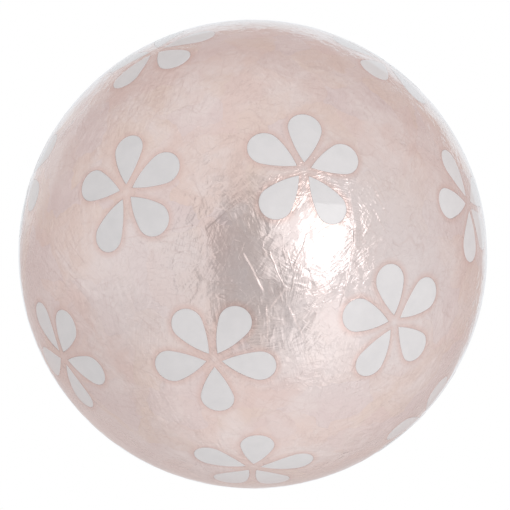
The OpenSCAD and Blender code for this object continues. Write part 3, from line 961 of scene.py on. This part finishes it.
def handling_group():
    """Smudges and fine scuffs from handling."""
    group, given, out = shader_group("handling", [("Amount", "Float")], [("Wear", "Float")])
    here = add(group, "ShaderNodeTexCoord").outputs["Object"]
    smudge = remap(group, noise(group, here, 60.0, 3.0).outputs[0], 0.45, 0.75)
    scuff = noise(group, vec(group, "MULTIPLY", here, (900.0, 260.0, 90.0)), 1.0, 2.0).outputs[0]
    scuff = remap(group, scuff, 0.62, 0.75, 0.0, 0.4)
    wear = calc(group, "ADD", calc(group, "MULTIPLY", smudge, 0.6), scuff)
    plug(group, calc(group, "MULTIPLY", wear, given["Amount"]), out["Wear"])
    return group


# Materials

def shader(name):
    """A new node material: its tree and its Principled shader."""
    material = bpy.data.materials.new(name)
    material.use_nodes = True
    return material, material.node_tree, material.node_tree.nodes["Principled BSDF"]


CLOUDING = clouding_group()
TURNING = turning_group()
HANDLING = handling_group()


def drawn_out(tree, here, direction, along, across):
    """Place for a noise that is fine in one direction and drawn out in the others."""
    fine = calc(tree, "MULTIPLY", dot(tree, here, direction), across - along)
    return vec(tree, "ADD", scaled(tree, here, along), scaled(tree, direction, fine))


def ridged(tree, value):
    """A noise folded into sharp crests."""
    return calc(tree, "SUBTRACT", 1.0, calc(tree, "ABSOLUTE", calc(tree, "MULTIPLY_ADD", value, 2.0, -1.0)))


def ball_direction(lat, lon):
    """Outward unit vector at a latitude and longitude in degrees."""
    rise = math.radians(lat)
    turn = math.radians(lon)
    return Vector((math.sin(turn) * math.cos(rise), -math.cos(turn) * math.cos(rise), math.sin(rise)))


def fold_fields(tree, outward, sway):
    """Height of the film's long folds, in millimetres, and a mask of their lines."""
    half = FOLD_HALF / BALL_R
    height = 0.0
    line = 0.0
    for start, end, rise in FOLDS:
        a = ball_direction(*start)
        b = ball_direction(*end)
        middle = (a + b).normalized()
        ends = a.dot(middle)
        within = remap(tree, dot(tree, outward, tuple(middle)), ends, (1 + ends) / 2)
        beside = calc(tree, "ADD", dot(tree, outward, tuple(a.cross(b).normalized())), sway)
        fall = remap(tree, beside, half, FOLD_FALL / BALL_R, 1.0, 0.0)
        step = calc(tree, "MULTIPLY", remap(tree, beside, -half, half, 0.0, rise), fall)
        height = calc(tree, "MULTIPLY_ADD", step, within, height)
        near = remap(tree, calc(tree, "ABSOLUTE", beside), 0.0, half, 1.0, 0.0)
        line = calc(tree, "MAXIMUM", calc(tree, "MULTIPLY", near, within), line)
    return height, line


def lacquer(surface):
    """Clear gloss lacquer over a shader."""
    surface.inputs["Coat Weight"].default_value = 1.0
    surface.inputs["Coat Roughness"].default_value = LACQUER_ROUGHNESS
    surface.inputs["Coat IOR"].default_value = LACQUER_IOR


def pearl_tone(tree, outward, flakes):
    """Tone of the flakes, clouded, with a painted sheen round the key light's reflection and a paler patch
    on the front left.
    """
    under = apart(tree, flakes["under"].outputs["Color"])[1]
    over = apart(tree, flakes["over"].outputs["Color"])[1]
    cloud = noise(tree, flakes["place"], 1.6, 4.0, 0.6).outputs[0]
    tone = mixed(tree, remap(tree, under, 0.1, 0.9), PINK, PEACH)
    tone = mixed(tree, remap(tree, over, 0.45, 0.95), tone, LILAC)
    tone = mixed(tree, remap(tree, cloud, 0.35, 0.75), tone, CLOUDED)
    # Painted sheen: the tone turns whiter round the key light's reflection, on the front right
    painted_sheen = remap(tree, dot(tree, outward, SHEEN_PAINT_SIDE), 0.80, 0.97, 0.0, 0.75)
    tone = mixed(tree, painted_sheen, tone, SHEEN_PAINT_TONE)
    # A paler, greyer patch low on the front left, placed by its direction
    pale_patch = remap(tree, dot(tree, outward, PALE_PATCH_SIDE), 0.93, 0.99, 0.0, 0.6)
    return mixed(tree, pale_patch, tone, PALE_PATCH_TONE)


def film_fields(tree, here, outward, flakes):
    """Fields of the film: streaks, ridges, creases, pleats, long folds, and where it is crumpled."""
    grain = vec(tree, "NORMALIZE", centred(tree, flakes["over"].outputs["Color"]))
    across = vec(tree, "NORMALIZE", vec(tree, "CROSS_PRODUCT", grain, (0.3, 0.5, 0.8)))
    streak = noise(tree, drawn_out(tree, here, grain, 130.0, 900.0), 1.0, 2.0, 0.6).outputs[0]
    ridge = ridged(tree, noise(tree, drawn_out(tree, here, across, 60.0, 190.0), 1.0, 2.0).outputs[0])
    patchy = remap(tree, noise(tree, here, 55.0, 2.0).outputs[0], 0.48, 0.62)
    crease = remap(tree, flakes["crease_edge"], 0.0, 0.04, 1.0, 0.0)

    lie = vec(tree, "NORMALIZE", centred(tree, flakes["under"].outputs["Color"]))
    bend = noise(tree, drawn_out(tree, here, lie, 12.0, 40.0), 1.0, 3.0, 0.55).outputs[0]
    pleat = remap(tree, calc(tree, "ABSOLUTE", calc(tree, "SUBTRACT", bend, 0.5)), 0.0, 0.014, 1.0, 0.0)
    pleat_mask = remap(tree, noise(tree, here, 38.0, 2.0).outputs[0], 0.42, 0.6)

    pressed = dot(tree, outward, PRESSED_SIDE)
    crumpled = remap(tree, noise(tree, flakes["place"], 0.9, 2.0).outputs[0], 0.3, 0.55, 0.15, 1.0)
    sway = calc(tree, "MULTIPLY_ADD", noise(tree, here, 60.0, 2.0).outputs[0], 0.012, -0.006)
    fold_rise, fold_line = fold_fields(tree, outward, sway)
    return {
        "streak": streak,
        "ridge": ridge,
        "patchy": patchy,
        "crease": calc(tree, "MULTIPLY", crease, patchy),
        "pleat": calc(tree, "MULTIPLY", pleat, pleat_mask),
        "pressed": pressed,
        "crumpled": calc(tree, "MULTIPLY", crumpled, remap(tree, pressed, 0.955, 0.99, 1.0, 0.45)),
        "fold_rise": fold_rise,
        "fold_line": fold_line,
    }


def film_shade(tree, tone, film):
    """A tone of the film, darker along its lines and beside the petals."""
    tone = mixed(tree, calc(tree, "MULTIPLY", film["crease"], 0.14), tone, CREASE_SHADE)
    crest = remap(tree, film["ridge"], 0.93, 0.99, 0.0, 0.16)
    tone = mixed(tree, calc(tree, "MULTIPLY", crest, film["patchy"]), tone, CREASE_SHADE)
    tone = mixed(tree, remap(tree, film["streak"], 0.35, 0.7, 0.0, 0.1), tone, STREAK_SHADE)
    fold_line = calc(tree, "MULTIPLY", film["fold_line"], 0.26)
    lines = calc(tree, "MAXIMUM", calc(tree, "MULTIPLY", film["pleat"], 0.2), fold_line)
    tone = mixed(tree, lines, tone, PLEAT_SHADE)
    gap = add(tree, "ShaderNodeAttribute", attribute_name="petal_reach").outputs["Fac"]
    tone = mixed(tree, remap(tree, gap, 0.3 * MM, 5.0 * MM, 0.6, 0.0), tone, PETAL_BLUSH)
    return mixed(tree, remap(tree, gap, 0.1 * MM, 1.2 * MM, 0.08, 0.0), tone, PETAL_LINE)


def film_height(tree, flakes, film):
    """Height of the film in millimetres, from tilted facets and from its fields."""
    facets = cells(tree, flakes["place"], 8.0)
    tilt = centred(tree, facets.outputs["Color"])
    off = vec(tree, "SUBTRACT", flakes["place"], facets.outputs["Position"])
    facet_rise = calc(tree, "MULTIPLY_ADD", film["crumpled"], 2.5, 1.0)
    height = calc(tree, "MULTIPLY", dot(tree, tilt, off), facet_rise)
    for field, rise in (("streak", 0.34), ("ridge", 0.6)):
        rise = calc(tree, "MULTIPLY", film["crumpled"], rise)
        height = calc(tree, "MULTIPLY_ADD", film[field], rise, height)
    height = calc(tree, "MULTIPLY_ADD", film["crease"], 0.05, height)
    pleat_rise = remap(tree, film["pressed"], 0.88, 0.97, 0.06, 0.14)
    height = calc(tree, "MULTIPLY_ADD", film["pleat"], pleat_rise, height)
    return calc(tree, "ADD", height, film["fold_rise"])


def nacre():
    """Pink mother-of-pearl flakes and crumpled pearl film under clear lacquer."""
    material, tree, surface = shader("nacre")
    here = add(tree, "ShaderNodeTexCoord").outputs["Object"]
    outward = vec(tree, "NORMALIZE", vec(tree, "SUBTRACT", here, tuple(MIDDLE)))
    flakes = flake_fields(tree, outward)
    film = film_fields(tree, here, outward, flakes)
    tone = film_shade(tree, pearl_tone(tree, outward, flakes), film)
    plug(tree, tone, surface.inputs["Base Color"])
    height = film_height(tree, flakes, film)
    bump = add(tree, "ShaderNodeBump", {"Strength": 1.0, "Distance": MM, "Height": height})
    plug(tree, bump.outputs[0], surface.inputs["Normal"])
    polish = apart(tree, flakes["under"].outputs["Color"])[2]
    plug(tree, remap(tree, polish, 0.0, 1.0, 0.09, 0.17), surface.inputs["Roughness"])
    surface.inputs["Metallic"].default_value = 0.5
    lacquer(surface)
    return material


def petal_shell():
    """White shell, cut and polished, under the same lacquer."""
    material, tree, surface = shader("petal_shell")
    tones = {"Per Metre": 90.0, "First": (0.685, 0.662, 0.668, 1), "Second": (0.725, 0.698, 0.704, 1)}
    colour = add(tree, "ShaderNodeGroup", tones, node_tree=CLOUDING)
    rim = add(tree, "ShaderNodeAttribute", attribute_name="petal_rim").outputs["Fac"]
    tint = mixed(tree, calc(tree, "MULTIPLY", rim, 0.05), colour.outputs["Color"], PETAL_RIM)
    plug(tree, tint, surface.inputs["Base Color"])
    plug(tree, remap(tree, colour.outputs["Mask"], 0.0, 1.0, 0.42, 0.52), surface.inputs["Roughness"])
    lacquer(surface)
    return material


def metal(name, bright, dull, roughness, lines_per_metre, wear):
    """Worked metal with fine turning lines and a little wear."""
    material, tree, surface = shader(name)
    lines = add(tree, "ShaderNodeGroup", {"Per Metre": lines_per_metre}, node_tree=TURNING)
    worn = add(tree, "ShaderNodeGroup", {"Amount": wear}, node_tree=HANDLING)
    plug(tree, mixed(tree, worn.outputs["Wear"], bright, dull), surface.inputs["Base Color"])
    rough = remap(tree, lines.outputs["Lines"], 0.3, 0.7, roughness - 0.06, roughness + 0.08)
    plug(tree, calc(tree, "MULTIPLY_ADD", worn.outputs["Wear"], 0.15, rough), surface.inputs["Roughness"])
    bump = {"Strength": 0.5, "Distance": 0.02 * MM, "Height": lines.outputs["Lines"]}
    plug(tree, add(tree, "ShaderNodeBump", bump).outputs[0], surface.inputs["Normal"])
    surface.inputs["Metallic"].default_value = 1.0
    return material


def smooth_ware(name, first, second, per_metre, roughness, wear, coat=0.0, transmission=0.0, painted_glow=0.0):
    """Ceramic, plastic or glass in two drifting tones, with a little wear, and a painted glow that stands
    in for daylight from behind.
    """
    material, tree, surface = shader(name)
    tones = {"Per Metre": per_metre, "First": first, "Second": second}
    tone = add(tree, "ShaderNodeGroup", tones, node_tree=CLOUDING)
    worn = add(tree, "ShaderNodeGroup", {"Amount": wear}, node_tree=HANDLING)
    plug(tree, tone.outputs["Color"], surface.inputs["Base Color"])
    rough = calc(tree, "MULTIPLY_ADD", worn.outputs["Wear"], 0.2, roughness)
    plug(tree, rough, surface.inputs["Roughness"])
    bump = {"Strength": 0.4, "Distance": 0.03 * MM, "Height": tone.outputs["Mask"]}
    plug(tree, add(tree, "ShaderNodeBump", bump).outputs[0], surface.inputs["Normal"])
    surface.inputs["Coat Weight"].default_value = coat
    surface.inputs["Coat Roughness"].default_value = 0.05
    surface.inputs["Transmission Weight"].default_value = transmission
    # Painted glow: emission that stands in for daylight through the part, none unless given
    surface.inputs["Emission Color"].default_value = GLOW_PAINT_TONE
    surface.inputs["Emission Strength"].default_value = painted_glow
    return material


# Camera, floor and light

CAMERA_DISTANCE = 2.3
CAMERA_ELEVATION = math.radians(-10)
FRAME_PIXELS = 510
FOCAL_PIXELS = 3530
BALL_PIXEL = (252.8, 254.1)
SENSOR = 36

# Light on matt surfaces, and what glossy ones mirror where nothing else is stated
MATT_LIGHT = (0.82, 0.82, 0.82, 1)
MIRRORED = (0.85, 0.85, 0.85, 1)

# Areas that glossy surfaces mirror: degrees right and up from the camera, half width and half height in
# degrees, softness of the border, share and tone
MIRRORED_AREAS = [
    (-75, 40, 68, 62, 0.4, 1.0, (1.0, 1.0, 1.0, 1)),
    (-100, -42, 45, 28, 0.5, 0.35, (0.58, 0.54, 0.53, 1)),
    (40, -65, 60, 50, 0.4, 1.0, (1.0, 1.0, 1.0, 1)),
    (180, 15, 68, 62, 0.4, 0.9, (0.66, 0.56, 0.54, 1)),
    (-150, 16, 22, 14, 0.5, 0.6, (0.95, 0.95, 0.95, 1)),
    (176, 12, 26, 24, 0.06, 1.0, (0.89, 0.92, 0.95, 1)),
    (-7, -4, 14, 40, 0.85, 0.72, (0.1, 0.1, 0.11, 1)),
    (9, -30, 10, 20, 0.5, 0.4, (0.1, 0.1, 0.11, 1)),
]

FLOOR_HALF = 40.0
FLOOR_LEVEL = -0.8
FLOOR_TONE = (0.95, 0.95, 0.95, 1)
FLOOR_ROUGHNESS = 0.8


def aim(obj, target):
    """Turn a camera or lamp towards a point."""
    obj.rotation_euler = (target - obj.location).to_track_quat("-Z", "Y").to_euler()


def make_camera():
    """Camera at the photograph's angle, from a little below the middle of the ball."""
    data = bpy.data.cameras.new("camera")
    data.sensor_width = SENSOR
    data.lens = FOCAL_PIXELS / FRAME_PIXELS * SENSOR
    data.shift_x = (FRAME_PIXELS / 2 - BALL_PIXEL[0]) / FRAME_PIXELS
    data.shift_y = (BALL_PIXEL[1] - FRAME_PIXELS / 2) / FRAME_PIXELS
    camera = bpy.data.objects.new("camera", data)
    towards = Vector((0, -math.cos(CAMERA_ELEVATION), math.sin(CAMERA_ELEVATION)))
    camera.location = MIDDLE + CAMERA_DISTANCE * towards
    bpy.context.scene.collection.objects.link(camera)
    aim(camera, MIDDLE)
    bpy.context.scene.camera = camera


def view_direction(right, up):
    """Direction from the ball, turned right and up by degrees from the camera."""
    a = math.radians(right)
    b = math.radians(up)
    local = Vector((math.sin(a) * math.cos(b), -math.cos(a) * math.cos(b), math.sin(b)))
    return Matrix.Rotation(-CAMERA_ELEVATION, 3, "X") @ local


def lamp(name, right, up, distance, width, height, level):
    """A soft box seen from the ball at that direction; level is its brightness, 1 for white."""
    data = bpy.data.lights.new(name, "AREA")
    data.shape = "RECTANGLE"
    data.size = width
    data.size_y = height
    data.energy = level * math.pi * width * height
    light = bpy.data.objects.new(name, data)
    light.location = MIDDLE + distance * view_direction(right, up)
    light.visible_camera = False
    bpy.context.scene.collection.objects.link(light)
    aim(light, MIDDLE)


def spot_mask(tree, towards, right, up, half_width, half_height, soft):
    """Soft oval round a direction, 1 inside, for a unit direction."""
    centre = view_direction(right, up)
    side = view_direction(right + 90, 0)
    over = side.cross(centre)
    across = calc(tree, "DIVIDE", dot(tree, towards, tuple(side)), math.sin(math.radians(half_width)))
    along = calc(tree, "DIVIDE", dot(tree, towards, tuple(over)), math.sin(math.radians(half_height)))
    away = calc(tree, "ADD", calc(tree, "MULTIPLY", across, across), calc(tree, "MULTIPLY", along, along))
    facing = calc(tree, "GREATER_THAN", dot(tree, towards, tuple(centre)), 0.0)
    return calc(tree, "MULTIPLY", remap(tree, away, 1 - soft, 1 + soft, 1.0, 0.0), facing)


def make_light():
    """Three soft boxes to the right of the camera, and pale surroundings that are darker round it."""
    lamp("key_box", right=33.5, up=5, distance=1.1, width=0.36, height=0.66, level=2.2)
    lamp("key_spill", right=16, up=4, distance=1.1, width=0.34, height=0.66, level=0.5)
    lamp("low_box", right=39, up=-34, distance=0.62, width=0.22, height=0.34, level=0.45)
    world = bpy.data.worlds.new("surroundings")
    bpy.context.scene.world = world
    world.use_nodes = True
    tree = world.node_tree
    towards = add(tree, "ShaderNodeTexCoord").outputs["Generated"]
    shown = MIRRORED
    for right, up, half_width, half_height, soft, share, tone in MIRRORED_AREAS:
        mask = spot_mask(tree, towards, right, up, half_width, half_height, soft)
        shown = mixed(tree, calc(tree, "MULTIPLY", mask, share), shown, tone)
    ray = add(tree, "ShaderNodeLightPath").outputs
    colour = mixed(tree, ray["Is Glossy Ray"], MATT_LIGHT, shown)
    open_ray = calc(tree, "MAXIMUM", ray["Is Camera Ray"], ray["Is Transmission Ray"])
    colour = mixed(tree, open_ray, colour, (1, 1, 1, 1))
    plug(tree, colour, tree.nodes["Background"].inputs["Color"])


def make_floor():
    """A plain pale floor under the lantern, open to a view from below."""
    mesh = bpy.data.meshes.new("floor")
    sides = [(-1, -1), (1, -1), (1, 1), (-1, 1)]
    mesh.from_pydata([(x * FLOOR_HALF, y * FLOOR_HALF, FLOOR_LEVEL) for x, y in sides], [], [(0, 1, 2, 3)])
    material, tree, surface = shader("floor")
    surface.inputs["Base Color"].default_value = FLOOR_TONE
    surface.inputs["Roughness"].default_value = FLOOR_ROUGHNESS
    below = add(tree, "ShaderNodeNewGeometry").outputs["Backfacing"]
    clear = add(tree, "ShaderNodeBsdfTransparent")
    choice = add(tree, "ShaderNodeMixShader", {0: below, 1: surface.outputs[0], 2: clear.outputs[0]})
    plug(tree, choice.outputs[0], tree.nodes["Material Output"].inputs["Surface"])
    mesh.materials.append(material)
    floor = bpy.data.objects.new("floor", mesh)
    floor.visible_glossy = False
    bpy.context.scene.collection.objects.link(floor)


# The scene

make_camera()
make_light()
make_floor()
bpy.context.scene.view_settings.view_transform = "Standard"

pearl = nacre()
tools = window_tools()
patch_tree = flake_patch_tree()
for side, axis in PATCH_AXES.items():
    patch = baked("flakes_" + side, patch_tree, {
        "Ball Radius": BALL_R,
        "Skin Depth": SKIN_DEPTH,
        "Grid Points": PATCH_GRID,
        "Flake Step": FLAKE_STEP,
        "Crease Rise": CREASE_RISE,
        "Swell Rise": SWELL_RISE,
        "Sink": SKIN_SINK,
        "Patch Axis": axis,
        "Windows": tools,
        "Middle": tuple(MIDDLE),
        "Material": pearl,
    })
    stand_for(patch, "globe", "nacre", "nacre_skin")
bpy.data.objects.remove(tools)

shell = petal_shell()
for number in range(len(BLOSSOMS)):
    blossom(number, shell)

# Bright tone, dull tone, roughness, turning lines per metre and wear
nickel = metal("crown_metal", (0.70, 0.67, 0.63, 1), (0.50, 0.47, 0.44, 1), 0.30, 1400.0, 0.4)
spring = metal("spring_steel", (0.58, 0.60, 0.63, 1), (0.40, 0.41, 0.43, 1), 0.34, 500.0, 0.5)
plated = metal("plated_steel", (0.74, 0.74, 0.73, 1), (0.56, 0.55, 0.52, 1), 0.30, 900.0, 0.5)
brass = metal("brass", (0.80, 0.62, 0.30, 1), (0.56, 0.40, 0.18, 1), 0.28, 800.0, 0.6)
bulb_metal = metal("bulb_metal", (0.80, 0.79, 0.77, 1), (0.62, 0.61, 0.58, 1), 0.26, 700.0, 0.4)
solder = metal("solder", (0.72, 0.72, 0.71, 1), (0.50, 0.50, 0.49, 1), 0.38, 400.0, 0.7)
post_metal = metal("lamp_post", (0.86, 0.86, 0.85, 1), (0.70, 0.70, 0.69, 1), 0.35, 600.0, 0.3)

# Two tones, clouds per metre, roughness and wear
porcelain = smooth_ware(
    "porcelain", (0.88, 0.865, 0.83, 1), (0.92, 0.91, 0.88, 1), 140.0, 0.22, 0.5, coat=1.0)
steatite = smooth_ware(
    "steatite", (0.82, 0.785, 0.72, 1), (0.88, 0.85, 0.79, 1), 700.0, 0.7, 0.3)
bush_stuff = smooth_ware(
    "bush_plastic", (0.86, 0.85, 0.81, 1), (0.90, 0.89, 0.86, 1), 900.0, 0.55, 0.4)
frosted = smooth_ware(
    "frosted_glass", (0.90, 0.90, 0.89, 1), (0.95, 0.95, 0.94, 1), 60.0, 0.42, 0.4, transmission=0.25)
dark_glass = smooth_ware(
    "black_glass", (0.05, 0.04, 0.05, 1), (0.08, 0.07, 0.08, 1), 300.0, 0.15, 0.5, coat=0.5)
# The liner gets a faint painted glow in place of daylight through the shell
liner = smooth_ware(
    "liner", (0.88, 0.86, 0.82, 1), (0.93, 0.91, 0.88, 1), 50.0, 0.45, 0.5, painted_glow=0.04)

lamp_thread = {"pitch": LAMP_PITCH, "half_depth": LAMP_HALF_DEPTH}
stud_thread = {"pitch": STUD_PITCH, "half_depth": STUD_HALF_DEPTH}
nut_shape = {"flats": NUT_FLATS, "segments": 120}
for node, body, slot, material, line, options in [
    ("crown_cap", "crown", "crown_metal", nickel, crown_cap_line(), {"segments": 180}),
    ("neck_ring", "globe", "crown_metal", nickel, neck_ring_line(), {"segments": 180}),
    ("hang_stud", "crown", "plated_steel", plated, stud_line(), stud_thread),
    ("top_washer", "crown", "plated_steel", plated, washer_line(), {}),
    ("top_nut", "crown", "plated_steel", plated, nut_line("top_nut"), nut_shape),
    ("lower_nut", "crown", "plated_steel", plated, nut_line("lower_nut"), nut_shape),
    ("cord_bush", "crown", "bush_plastic", bush_stuff, bush_line(), {}),
    ("holder_cap", "crown", "porcelain", porcelain, holder_cap_line(), {}),
    ("holder_body", "crown", "porcelain", porcelain, holder_body_line(), {}),
    ("screw_shell", "crown", "brass", brass, screw_shell_line(), lamp_thread),
    ("centre_contact", "crown", "brass", brass, contact_line(), {"closed": False}),
    ("bulb_cap", "bulb", "bulb_metal", bulb_metal, bulb_cap_line(), {"closed": False, **lamp_thread}),
    ("bulb_glass", "bulb", "frosted_glass", frosted, glass_line(), {"closed": False, "segments": 120}),
    ("bulb_stem", "bulb", "lamp_post", post_metal, stem_line(), {"closed": False}),
    ("bulb_insulator", "bulb_contact", "black_glass", dark_glass, insulator_line(), {"closed": False}),
    ("bulb_tip", "bulb_contact", "solder", solder, tip_line(), {"closed": False}),
]:
    stand_for(turned(node + "_turned", material, line, **options), body, slot, node)
spring_clip(spring)

for node, material in [
    ("liner_upper", liner),
    ("liner_lower", liner),
    ("contact_block", steatite),
    ("terminal_screws", brass),
]:
    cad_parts[node].active_material = material
